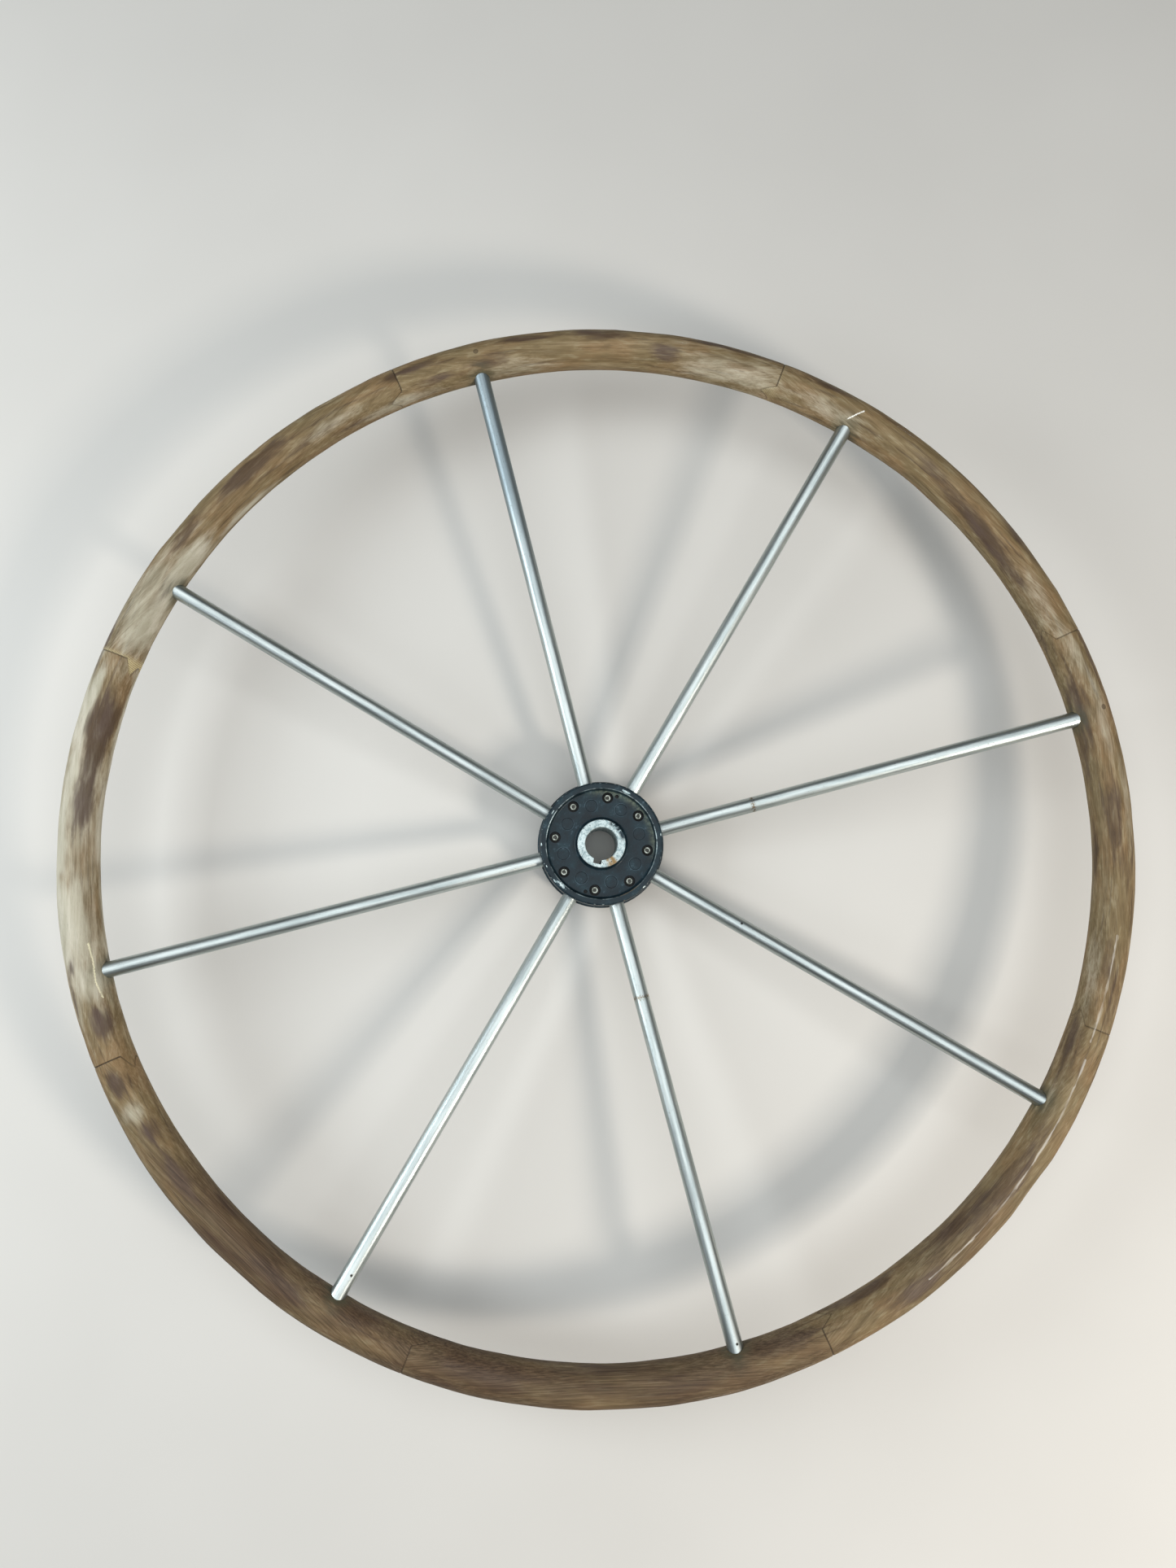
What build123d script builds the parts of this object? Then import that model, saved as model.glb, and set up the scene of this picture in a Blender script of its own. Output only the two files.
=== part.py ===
"""Boat helm steering wheel: wooden rim, eight rod spokes and a two-part clamping hub.

Millimetres. The wheel lies on the flat front face of its hub, with its back (the shaft side) up.
The origin is on the bore axis at that face, +Z runs up along the bore, and spoke 1 points to +Y.
Spokes and rim segments are numbered clockwise, seen from above.
"""
import os
from math import atan2, cos, degrees, hypot, radians, sin

from build123d import *

# ---- driving dimensions -------------------------------------------------------------------
COUNT = 8                        # spokes, rim segments and hub screws
STEP = 360 / COUNT

WHEEL_DIAMETER = 813.0           # 32 inch wheel
RIM_SECTION = 30.0               # diameter of the round wooden rim
RIM_HEIGHT = 72.0                # centre of the rim above the hub's front face

SPOKE_DIAMETER = 12.0
SPOKE_INNER_RADIUS = 24.5        # where the rods end inside the hub
SPOKE_GRIP = 6.5                 # how far a rod runs past the middle of the rim section
SPOKE_HEIGHT_AT_HUB = 34.0       # rod centre where it leaves the hub
SPOKE_RISE_AT_RIM = 2.0          # rod centre above the rim centre, where it enters the wood
SPOKE_CHAMFER = 1.0
GLUE_GAP = 1.0                   # free depth beyond the rod in its hole in the rim
NECK_DIAMETER = 10.0             # turned groove that locks a rod in the hub
NECK_LENGTH = 5.0
NECK_START = 8.0                 # from the rod's inner end

JOINT_LEAD = 9.5                 # degrees from a rim joint to the spoke that follows it
FINGER_LENGTH = 11.3
FINGER_BASE = 9.0                # finger starts this far inside the rim's centre circle
FINGER_TIP = 13.4
FINGER_END = 15.6

HUB_HEIGHT = 48.0
SPLIT_HEIGHT = 33.0              # where the two halves of the hub meet
LIP_RADIUS = 48.0
BODY_RADIUS = 48.8               # the lip's wall leans out a little towards the split
LIP_INNER_RADIUS = 43.0
LIP_FILLET = 1.6
LIP_INNER_FILLET = 0.5
RECESS_DEPTH = 5.0
RECESS_DRAFT = 1.0
RECESS_FILLET = 1.5
BOSS_RADIUS = 18.8
BOSS_FOOT_RADIUS = 20.2
BOSS_FILLET = 0.8
BOSS_FOOT_FILLET = 1.6
STEP_RING_RADIUS = 22.0          # thin turned ring around the boss
STEP_RING_HEIGHT = 0.35
STEP_RING_WIDTH = 0.7

BORE_DIAMETER = 25.4             # one inch shaft
KEYWAY_WIDTH = 6.35
KEYWAY_RADIUS = 16.1             # bottom of the keyway from the bore axis
KEYWAY_ANGLE = 207.5             # clockwise from spoke 1
BORE_CHAMFER = 0.4

PLATE_RADIUS = 50.0
PLATE_FACE_RADIUS = 41.0
PLATE_TAPER_HEIGHT = 14.0        # the edge narrows below this height
PLATE_TAPER_FILLET = 4.0
PLATE_EDGE_FILLET = 1.2
SPIGOT_RADIUS = 19.0             # the boss runs down through the front plate
SPIGOT_END = 4.0
WASHER_RECESS_RADIUS = 28.0
CORE_POCKET_INNER = 24.0         # hollow that keeps the casting's walls even
CORE_POCKET_OUTER = 30.5
CORE_POCKET_FLOOR = 9.0

SCREW_CIRCLE_RADIUS = 36.5
SCREW_DIAMETER = 3.0
SCREW_HEAD_DIAMETER = 5.5
SCREW_HEAD_HEIGHT = 3.0
SCREW_HEAD_CHAMFER = 0.4
SCREW_LENGTH = 28.0
SCREW_CLEARANCE_DIAMETER = 3.4
SCREW_WELL_DIAMETER = 8.8
SCREW_WELL_DEPTH = 5.0
SCREW_SOCKET = 2.5
SCREW_SOCKET_DEPTH = 1.5
THREAD_DEPTH = 25.0

DOWEL_CIRCLE_RADIUS = 39.2
DOWEL_DIAMETER = 3.0
DOWEL_ANGLE = 33.0               # clockwise from spoke 1
DOWEL_TOP = 40.0
DOWEL_BOTTOM = 24.0

EJECTOR_CIRCLE_RADIUS = 30.8     # round marks left by the mould's ejector pins
EJECTOR_DIAMETER = 9.4
EJECTOR_DEPTH = 0.25

OVERRUN = 10.0                   # how far a cutting shape runs past the surface that it cuts

# ---- derived dimensions -------------------------------------------------------------------
RIM_RADIUS = (WHEEL_DIAMETER - RIM_SECTION) / 2
ENTRY_RADIUS = RIM_RADIUS - RIM_SECTION / 2
ENTRY_HEIGHT = RIM_HEIGHT + SPOKE_RISE_AT_RIM
SPOKE_SLOPE = (ENTRY_HEIGHT - SPOKE_HEIGHT_AT_HUB) / (ENTRY_RADIUS - PLATE_RADIUS)
RECESS_FLOOR = HUB_HEIGHT - RECESS_DEPTH
BODY_DEPTH = RECESS_FLOOR - SPLIT_HEIGHT
CRADLE_END = PLATE_RADIUS + OVERRUN
SCREW_SEAT = RECESS_FLOOR - SCREW_WELL_DEPTH
WOOD_SLAB = RIM_SECTION + 2 * OVERRUN
CUT_INNER = ENTRY_RADIUS - OVERRUN
CUT_OUTER = (WHEEL_DIAMETER / 2 + OVERRUN) / cos(radians(STEP / 2))


def math_angle(clockwise):
    """Angle from +X, counterclockwise, of a direction given clockwise from +Y."""
    return 90.0 - clockwise


def spoke_point(clockwise, radius):
    """Point on a spoke's centre line at a given radius from the bore axis."""
    turn = radians(math_angle(clockwise))
    height = SPOKE_HEIGHT_AT_HUB + (radius - PLATE_RADIUS) * SPOKE_SLOPE
    return Vector(radius * cos(turn), radius * sin(turn), height)


def spoke_plane(clockwise, radius):
    """Plane square to a spoke at a given radius, facing outwards."""
    start = spoke_point(clockwise, radius)
    ahead = spoke_point(clockwise, radius + 1.0)
    return Plane(origin=start, z_dir=ahead - start)


def along_spoke(radius_a, radius_b):
    """Distance along a spoke's centre line between two radii."""
    return hypot(radius_b - radius_a, (radius_b - radius_a) * SPOKE_SLOPE)


def rod(clockwise, start_radius, end_radius):
    """Solid cylinder on a spoke's centre line, from one radius to another."""
    with BuildPart() as cylinder:
        with BuildSketch(spoke_plane(clockwise, start_radius)):
            Circle(SPOKE_DIAMETER / 2)
        extrude(amount=along_spoke(start_radius, end_radius))
    return cylinder.part


def necked_rod(clockwise, end_radius):
    """Rod from its inner end, with the turned neck that stops it sliding out of the hub."""
    neck = spoke_plane(clockwise, SPOKE_INNER_RADIUS).offset(NECK_START)
    with BuildPart() as shape:
        add(rod(clockwise, SPOKE_INNER_RADIUS, end_radius))
        with BuildSketch(neck):
            Circle(SPOKE_DIAMETER)
            Circle(NECK_DIAMETER / 2, mode=Mode.SUBTRACT)
        extrude(amount=NECK_LENGTH, mode=Mode.SUBTRACT)
    return shape.part


def make_spoke(clockwise):
    """Spoke with a small chamfer at each end."""
    along = spoke_plane(clockwise, SPOKE_INNER_RADIUS).z_dir
    with BuildPart() as spoke_rod:
        add(necked_rod(clockwise, RIM_RADIUS + SPOKE_GRIP))
        ends = spoke_rod.faces().filter_by(GeomType.PLANE).sort_by(Axis((0, 0, 0), along))
        chamfer(ends[0].edges() + ends[-1].edges(), SPOKE_CHAMFER)
    return spoke_rod.part


def joint_line(clockwise):
    """Rim joint in plan, from outside to inside: a butt, then one V finger."""
    profile = [
        (CUT_OUTER, 0.0),
        (RIM_RADIUS - FINGER_BASE, 0.0),
        (RIM_RADIUS - FINGER_TIP, FINGER_LENGTH),
        (RIM_RADIUS - FINGER_END, 0.0),
        (CUT_INNER, 0.0),
    ]
    turn = radians(math_angle(clockwise))
    return [
        (radius * cos(turn) - shift * sin(turn), radius * sin(turn) + shift * cos(turn))
        for radius, shift in profile
    ]


def make_rim_segment(clockwise):
    """Rim board that holds the spoke at this angle: finger at one end, notch at the other."""
    start = clockwise - JOINT_LEAD
    outline = joint_line(start) + joint_line(start + STEP)[::-1]
    seam = math_angle(clockwise + 180.0)
    section = Plane(
        origin=(0, 0, 0),
        x_dir=(cos(radians(seam)), sin(radians(seam)), 0),
        z_dir=(sin(radians(seam)), -cos(radians(seam)), 0),
    )
    with BuildPart() as board:
        with BuildSketch(section):
            with Locations((RIM_RADIUS, RIM_HEIGHT)):
                Circle(RIM_SECTION / 2)
        revolve(axis=Axis.Z)
        with BuildSketch(Plane.XY.offset(RIM_HEIGHT - WOOD_SLAB / 2)):
            with BuildLine():
                Polyline(*outline, close=True)
            make_face()
        extrude(amount=WOOD_SLAB, mode=Mode.INTERSECT)
        blind_hole = rod(clockwise, ENTRY_RADIUS - OVERRUN, RIM_RADIUS + SPOKE_GRIP + GLUE_GAP)
        add(blind_hole, mode=Mode.SUBTRACT)
    return board.part


def ring_of_angles(first):
    """Clockwise angles of eight evenly spaced features, from the first."""
    return [first + STEP * index for index in range(COUNT)]


def upright_cylinders(height, length, circle_radius, angles, diameter):
    """Cylinders parallel to the bore, set out on a circle; a negative length goes down."""
    places = [
        (circle_radius * cos(radians(math_angle(a))), circle_radius * sin(radians(math_angle(a))))
        for a in angles
    ]
    with BuildPart() as group:
        with BuildSketch(Plane.XY.offset(height)):
            with Locations(*places):
                Circle(diameter / 2)
        extrude(amount=length)
    return group.part


SPOKE_ANGLES = ring_of_angles(0.0)
SCREW_ANGLES = ring_of_angles(STEP / 2)
DOWEL_ANGLES = [DOWEL_ANGLE, DOWEL_ANGLE + 180.0]

os.makedirs("parts", exist_ok=True)

# ---- rim segments and spokes --------------------------------------------------------------
for number, angle in enumerate(SPOKE_ANGLES, start=1):
    segment = make_rim_segment(angle)
    segment.label = f"rim_segment_{number}"
    export_step(segment, f"parts/rim_segment_{number}.step")

    spoke = make_spoke(angle)
    spoke.label = f"spoke_{number}"
    export_step(spoke, f"parts/spoke_{number}.step")

# ---- hub body: lip, sunk face, boss and keyed bore -----------------------------------------
with BuildPart() as hub_body:
    with BuildSketch(Plane.XZ) as half_section:
        with BuildLine():
            Polyline(
                (BORE_DIAMETER / 2, SPIGOT_END + BORE_CHAMFER),
                (BORE_DIAMETER / 2 + BORE_CHAMFER, SPIGOT_END),
                (SPIGOT_RADIUS, SPIGOT_END),
                (SPIGOT_RADIUS, SPLIT_HEIGHT),
                (BODY_RADIUS, SPLIT_HEIGHT),
                (LIP_RADIUS, HUB_HEIGHT),
                (LIP_INNER_RADIUS, HUB_HEIGHT),
                (LIP_INNER_RADIUS - RECESS_DRAFT, RECESS_FLOOR),
                (BOSS_FOOT_RADIUS, RECESS_FLOOR),
                (BOSS_RADIUS, HUB_HEIGHT),
                (BORE_DIAMETER / 2 + BORE_CHAMFER, HUB_HEIGHT),
                (BORE_DIAMETER / 2, HUB_HEIGHT - BORE_CHAMFER),
                close=True,
            )
        make_face()
        rounded = [
            (LIP_RADIUS, HUB_HEIGHT, LIP_FILLET),
            (LIP_INNER_RADIUS, HUB_HEIGHT, LIP_INNER_FILLET),
            (LIP_INNER_RADIUS - RECESS_DRAFT, RECESS_FLOOR, RECESS_FILLET),
            (BOSS_FOOT_RADIUS, RECESS_FLOOR, BOSS_FOOT_FILLET),
            (BOSS_RADIUS, HUB_HEIGHT, BOSS_FILLET),
        ]
        for radius, height, size in rounded:
            fillet(half_section.vertices().sort_by_distance((radius, height))[0], size)
    revolve(axis=Axis.Z)

    with BuildSketch(Plane.XY.offset(RECESS_FLOOR)):
        Circle(STEP_RING_RADIUS + STEP_RING_WIDTH)
        Circle(STEP_RING_RADIUS, mode=Mode.SUBTRACT)
    extrude(amount=STEP_RING_HEIGHT)

    ejector_marks = upright_cylinders(
        RECESS_FLOOR, -EJECTOR_DEPTH, EJECTOR_CIRCLE_RADIUS, SPOKE_ANGLES, EJECTOR_DIAMETER
    )
    screw_wells = upright_cylinders(
        RECESS_FLOOR, -SCREW_WELL_DEPTH, SCREW_CIRCLE_RADIUS, SCREW_ANGLES, SCREW_WELL_DIAMETER
    )
    screw_holes = upright_cylinders(
        RECESS_FLOOR, -BODY_DEPTH, SCREW_CIRCLE_RADIUS, SCREW_ANGLES, SCREW_CLEARANCE_DIAMETER
    )
    dowel_holes = upright_cylinders(
        RECESS_FLOOR, -BODY_DEPTH, DOWEL_CIRCLE_RADIUS, DOWEL_ANGLES, DOWEL_DIAMETER
    )
    for cut in (ejector_marks, screw_wells, screw_holes, dowel_holes):
        add(cut, mode=Mode.SUBTRACT)

    keyway_plane = Plane.XY.offset(SPIGOT_END).rotated((0, 0, math_angle(KEYWAY_ANGLE)))
    with BuildSketch(keyway_plane):
        with Locations((KEYWAY_RADIUS / 2, 0)):
            Rectangle(KEYWAY_RADIUS, KEYWAY_WIDTH)
    extrude(amount=HUB_HEIGHT, mode=Mode.SUBTRACT)

    for angle in SPOKE_ANGLES:
        add(necked_rod(angle, CRADLE_END), mode=Mode.SUBTRACT)
hub_body.part.label = "hub_body"
export_step(hub_body.part, "parts/hub_body.step")

# ---- hub front plate: clamps the spokes from the front --------------------------------------
with BuildPart() as hub_front_plate:
    with BuildSketch(Plane.XZ) as half_section:
        with BuildLine():
            Polyline(
                (WASHER_RECESS_RADIUS, 0),
                (PLATE_FACE_RADIUS, 0),
                (PLATE_RADIUS, PLATE_TAPER_HEIGHT),
                (PLATE_RADIUS, SPLIT_HEIGHT),
                (CORE_POCKET_OUTER, SPLIT_HEIGHT),
                (CORE_POCKET_OUTER, CORE_POCKET_FLOOR),
                (CORE_POCKET_INNER, CORE_POCKET_FLOOR),
                (CORE_POCKET_INNER, SPLIT_HEIGHT),
                (SPIGOT_RADIUS, SPLIT_HEIGHT),
                (SPIGOT_RADIUS, SPIGOT_END),
                (WASHER_RECESS_RADIUS, SPIGOT_END),
                close=True,
            )
        make_face()
        rounded = [
            (PLATE_RADIUS, SPLIT_HEIGHT, PLATE_EDGE_FILLET),
            (PLATE_RADIUS, PLATE_TAPER_HEIGHT, PLATE_TAPER_FILLET),
            (PLATE_FACE_RADIUS, 0, PLATE_EDGE_FILLET),
        ]
        for radius, height, size in rounded:
            fillet(half_section.vertices().sort_by_distance((radius, height))[0], size)
    revolve(axis=Axis.Z)

    threaded_holes = upright_cylinders(
        SPLIT_HEIGHT, -THREAD_DEPTH, SCREW_CIRCLE_RADIUS, SCREW_ANGLES, SCREW_DIAMETER
    )
    dowel_seats = upright_cylinders(
        SPLIT_HEIGHT, DOWEL_BOTTOM - SPLIT_HEIGHT, DOWEL_CIRCLE_RADIUS, DOWEL_ANGLES, DOWEL_DIAMETER
    )
    for cut in (threaded_holes, dowel_seats):
        add(cut, mode=Mode.SUBTRACT)

    for angle in SPOKE_ANGLES:
        add(necked_rod(angle, CRADLE_END), mode=Mode.SUBTRACT)
hub_front_plate.part.label = "hub_front_plate"
export_step(hub_front_plate.part, "parts/hub_front_plate.step")

# ---- fasteners ------------------------------------------------------------------------------
with BuildPart() as hub_screws:
    add(upright_cylinders(
        SCREW_SEAT, SCREW_HEAD_HEIGHT, SCREW_CIRCLE_RADIUS, SCREW_ANGLES, SCREW_HEAD_DIAMETER
    ))
    chamfer(hub_screws.edges().group_by(Axis.Z)[-1], SCREW_HEAD_CHAMFER)
    add(upright_cylinders(
        SCREW_SEAT, -SCREW_LENGTH, SCREW_CIRCLE_RADIUS, SCREW_ANGLES, SCREW_DIAMETER
    ))
    head_tops = hub_screws.faces().group_by(Axis.Z)[-1]
    for head_top in head_tops:
        with BuildSketch(Plane(head_top)):
            RegularPolygon(SCREW_SOCKET / 2, 6, major_radius=False)
        extrude(amount=-SCREW_SOCKET_DEPTH, mode=Mode.SUBTRACT)
hub_screws.part.label = "hub_screws"
export_step(hub_screws.part, "parts/hub_screws.step")

with BuildPart() as hub_dowels:
    add(upright_cylinders(
        DOWEL_BOTTOM, DOWEL_TOP - DOWEL_BOTTOM, DOWEL_CIRCLE_RADIUS, DOWEL_ANGLES, DOWEL_DIAMETER
    ))
hub_dowels.part.label = "hub_dowels"
export_step(hub_dowels.part, "parts/hub_dowels.step")

print("spoke slope, degrees:", round(degrees(atan2(SPOKE_SLOPE, 1.0)), 2))
print("spoke length:", round(along_spoke(SPOKE_INNER_RADIUS, RIM_RADIUS + SPOKE_GRIP), 1))
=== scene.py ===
"""Looks of the boat steering wheel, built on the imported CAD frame.

Metres. The wheel lies on the front face of its hub with its back up. Places on the rim are given by
azimuth, in degrees clockwise from spoke 1 (+Y) seen from above, and by roll, in degrees round the
rim's section: 0 faces away from the hub, 90 up, 180 the hub and 270 the floor.
"""
import math

import bpy
import numpy as np
from mathutils import Matrix, Vector, noise


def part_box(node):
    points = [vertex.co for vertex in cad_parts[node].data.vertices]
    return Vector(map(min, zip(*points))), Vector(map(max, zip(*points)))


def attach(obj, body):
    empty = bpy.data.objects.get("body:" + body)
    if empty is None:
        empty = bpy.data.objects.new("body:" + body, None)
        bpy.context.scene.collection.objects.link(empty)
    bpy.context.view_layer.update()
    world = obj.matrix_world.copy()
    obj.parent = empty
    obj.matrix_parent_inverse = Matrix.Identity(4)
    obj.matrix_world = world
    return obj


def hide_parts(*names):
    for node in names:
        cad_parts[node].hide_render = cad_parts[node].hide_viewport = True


MM = 0.001
COUNT = 8                           # spokes, rim boards and hub screws
STEP = 360 / COUNT

# ---- rim boards ---------------------------------------------------------------------------
JOINT_LEAD = 9.5                    # degrees from a rim joint to the spoke that follows it
FINGER_LENGTH = 11.3 * MM           # V finger at the hub side of each joint
FINGER_BASE = 9.0 * MM              # inside the rim's centre circle
FINGER_TIP = 13.4 * MM
FINGER_END = 15.6 * MM
JOINT_GAP = 0.12 * MM
SEAM_DEPTH = 0.28 * MM              # the wood's rounded edge along a joint
SEAM_WIDTH = 0.9 * MM
RING_POINTS = 96                    # vertices round the section
EVEN_COLUMNS = 191                  # rings of vertices spread evenly along a board
END_COLUMNS = [0.06, 0.2, 0.4, 0.65, 0.95]  # mm from each end, for the rounded edge of the joint
SPOKE_COLUMNS = 10                  # more rings, up to SPOKE_REACH from the spoke
SPOKE_REACH = 9.0                   # mm
BOARD_LENGTH = 307.0 * MM           # a board's length on the centre circle, to space its columns
WEAR = 0.42 * MM                    # how far hands have worn the round section out of true
SWELL = 0.3 * MM                    # extra wood left round each spoke
SWELL_SPREAD = 4.5                  # degrees of azimuth
FLAT_SPREAD = 38                    # degrees of roll over which a flat fades
GRAIN_SHIFT = [310.0, 47.0, 91.0]   # mm; moves the grain's texture from one board to the next

# ---- spokes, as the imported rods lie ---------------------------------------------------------
ROD_RADIUS = 6.0 * MM
ROD_SLOPE = math.radians(6.98)
ROD_END = 398.0 * MM                # radius at which a rod ends inside the rim
ROD_HEIGHT = 74.0 * MM              # rod centre where it enters the rim
ROD_ENTRY = 376.5 * MM
HOLE_CLEARANCE = 0.15 * MM
DRILL_LENGTH = 34.0 * MM
DRILL_OVERRUN = 1.5 * MM            # how far the hole runs past the rod's end


def smooth(value, low, high):
    """0 below low, 1 above high, and an even slope between them."""
    share = np.clip((value - low) / (high - low), 0.0, 1.0)
    return share * share * (3 - 2 * share)


def turned(angle):
    """Angles wrapped to -180 to 180 degrees."""
    return (np.asarray(angle) + 180.0) % 360.0 - 180.0


def noise_at(points, size, seed=0.0):
    """Smooth noise from -1 to 1 at each point, with bumps about size across."""
    offset = Vector((seed, seed * 1.7, -seed))
    return np.array([noise.noise(Vector(p) / size + offset) for p in points])


# =============================================================================================
# Node helpers
# =============================================================================================
class Nodes:
    """A material's node tree, with one short call for each kind of node used here."""

    def __init__(self, name):
        self.material = bpy.data.materials.new(name)
        self.material.use_nodes = True
        self.tree = self.material.node_tree
        self.shader = self.tree.nodes["Principled BSDF"]

    def link(self, source, target):
        self.tree.links.new(source, target)

    def put(self, socket, value):
        """Links a socket to an output, or sets it to a plain value."""
        if isinstance(value, bpy.types.NodeSocket):
            self.link(value, socket)
        else:
            socket.default_value = value

    def attribute(self, name):
        node = self.tree.nodes.new("ShaderNodeAttribute")
        node.attribute_name = name
        return node

    def place(self):
        return self.tree.nodes.new("ShaderNodeTexCoord").outputs["Object"]

    def math(self, operation, a, b=0.0, clamp=False):
        node = self.tree.nodes.new("ShaderNodeMath")
        node.operation = operation
        node.use_clamp = clamp
        for socket, value in zip(node.inputs, (a, b)):
            self.put(socket, value)
        return node.outputs[0]

    def vector(self, operation, a, b=(0, 0, 0)):
        """Vector maths; SCALE takes a number for b."""
        node = self.tree.nodes.new("ShaderNodeVectorMath")
        node.operation = operation
        self.put(node.inputs[0], a)
        self.put(node.inputs["Scale" if operation == "SCALE" else 1], b)
        gives_number = operation in ("DOT_PRODUCT", "DISTANCE", "LENGTH")
        return node.outputs["Value" if gives_number else "Vector"]

    def stretch(self, vector, scale, rotation=(0, 0, 0), shift=(0, 0, 0)):
        node = self.tree.nodes.new("ShaderNodeMapping")
        self.put(node.inputs["Vector"], vector)
        node.inputs["Scale"].default_value = scale
        node.inputs["Rotation"].default_value = rotation
        node.inputs["Location"].default_value = shift
        return node.outputs[0]

    def noise(self, vector, scale, detail=2.0, roughness=0.5, distortion=0.0):
        node = self.tree.nodes.new("ShaderNodeTexNoise")
        self.put(node.inputs["Vector"], vector)
        node.inputs["Scale"].default_value = scale
        node.inputs["Detail"].default_value = detail
        node.inputs["Roughness"].default_value = roughness
        node.inputs["Distortion"].default_value = distortion
        return node.outputs["Fac"]

    def ramp(self, value, *stops):
        """Colour ramp; each stop is (position, colour)."""
        node = self.tree.nodes.new("ShaderNodeValToRGB")
        self.put(node.inputs["Fac"], value)
        elements = node.color_ramp.elements
        while len(elements) < len(stops):
            elements.new(0.5)
        for element, (position, colour) in zip(elements, stops):
            element.position = position
            element.color = colour
        return node.outputs["Color"]

    def mask(self, value, low, high, out_low=0.0, out_high=1.0):
        """Value mapped smoothly from low..high to out_low..out_high."""
        node = self.tree.nodes.new("ShaderNodeMapRange")
        node.interpolation_type = "SMOOTHSTEP"
        self.put(node.inputs["Value"], value)
        node.inputs["From Min"].default_value = low
        node.inputs["From Max"].default_value = high
        node.inputs["To Min"].default_value = out_low
        node.inputs["To Max"].default_value = out_high
        return node.outputs["Result"]

    def mix(self, share, a, b):
        node = self.tree.nodes.new("ShaderNodeMix")
        node.data_type = "RGBA"
        self.put(node.inputs["Factor"], share)
        self.put(node.inputs["A"], a)
        self.put(node.inputs["B"], b)
        return node.outputs["Result"]

    def join(self, x, y, z):
        node = self.tree.nodes.new("ShaderNodeCombineXYZ")
        for socket, value in zip(node.inputs, (x, y, z)):
            self.put(socket, value)
        return node.outputs[0]

    def split(self, vector):
        node = self.tree.nodes.new("ShaderNodeSeparateXYZ")
        self.put(node.inputs[0], vector)
        return node.outputs

    def bump(self, height, distance, strength):
        node = self.tree.nodes.new("ShaderNodeBump")
        node.inputs["Strength"].default_value = strength
        node.inputs["Distance"].default_value = distance
        self.put(node.inputs["Height"], height)
        return node.outputs["Normal"]


def rgb(code):
    """Linear colour from a hex code such as #a08a64."""
    parts = [int(code[i:i + 2], 16) / 255 for i in (1, 3, 5)]
    linear = [c / 12.92 if c <= 0.04045 else ((c + 0.055) / 1.055) ** 2.4 for c in parts]
    return (*linear, 1.0)


def dress(node, material):
    """Gives a CAD node a better material."""
    node.data.materials.clear()
    node.data.materials.append(material)


# =============================================================================================
# Rim
# =============================================================================================
# Patches are placed as the photograph shows them, leaning this many degrees towards the hub.
VIEW_LEAN = 25
# Dark patches in the wood: azimuth, roll less the lean, half length in mm, half width in mm, strength.
DARK_PATCHES = [
    (2, 95, 26, 6, 0.45), (6, 40, 24, 4, 0.75), (14, 35, 24, 6, 0.7), (22, 85, 13, 8, 0.75),
    (29, 25, 34, 4, 0.8), (33, 75, 14, 5, 0.25), (41, 28, 26, 4, 0.7), (50, 28, 24, 4, 0.5),
    (57, 85, 26, 6, 0.5), (64, 105, 42, 8, 0.75), (70, 115, 26, 7, 0.65), (68, 30, 26, 5, 0.6),
    (78, 145, 34, 5, 0.5), (86, 25, 46, 5, 0.5), (89, 110, 34, 8, 0.6), (95, 140, 28, 6, 0.5),
    (101, 80, 40, 8, 0.6), (107, 45, 30, 6, 0.4), (106, 150, 32, 5, 0.6), (118, 85, 36, 6, 0.4),
    (122, 45, 34, 5, 0.4), (128, 125, 30, 9, 0.6), (133, 160, 24, 5, 0.4), (144, 85, 48, 8, 0.65),
    (152, 120, 34, 8, 0.7), (160, 60, 34, 8, 0.6), (165, 140, 30, 8, 0.8), (176, 110, 34, 9, 0.6),
    (187, 60, 40, 9, 0.55), (196, 135, 34, 8, 0.6), (207, 90, 44, 11, 0.85), (212, 35, 26, 6, 0.7),
    (222, 120, 34, 9, 0.8), (231, 75, 34, 8, 0.85), (238, 45, 26, 6, 0.7), (241, 130, 22, 6, 0.7),
    (246, 85, 20, 7, 0.8), (252, 85, 13, 8, 0.85), (258, 70, 12, 8, 0.9), (264.5, 90, 14, 8, 0.9),
    (268, 25, 22, 3, 0.5), (271, 40, 9, 4, 0.6), (289, 88, 30, 9, 0.8), (293.5, 98, 20, 8, 0.8),
    (298, 100, 26, 11, 1.0), (303, 75, 16, 6, 0.2), (306, 15, 26, 3, 0.7), (314, 110, 13, 5, 0.5),
    (321, 60, 26, 6, 0.7), (331, 60, 44, 8, 0.85), (338, 100, 30, 5, 0.5), (343, 130, 22, 3, 0.45),
    (352, 50, 26, 5, 0.8), (355, 105, 20, 4, 0.6),
]
# Boards that are browner all over, partly in their own tone and partly as painted shade, in the same
# terms.
BROWN_AND_SHADED_STRETCHES = [
    (154, 90, 60, 70, 0.40), (185, 90, 110, 80, 0.85), (210, 90, 120, 80, 0.90), (236, 90, 100, 80, 0.90),
]
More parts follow.
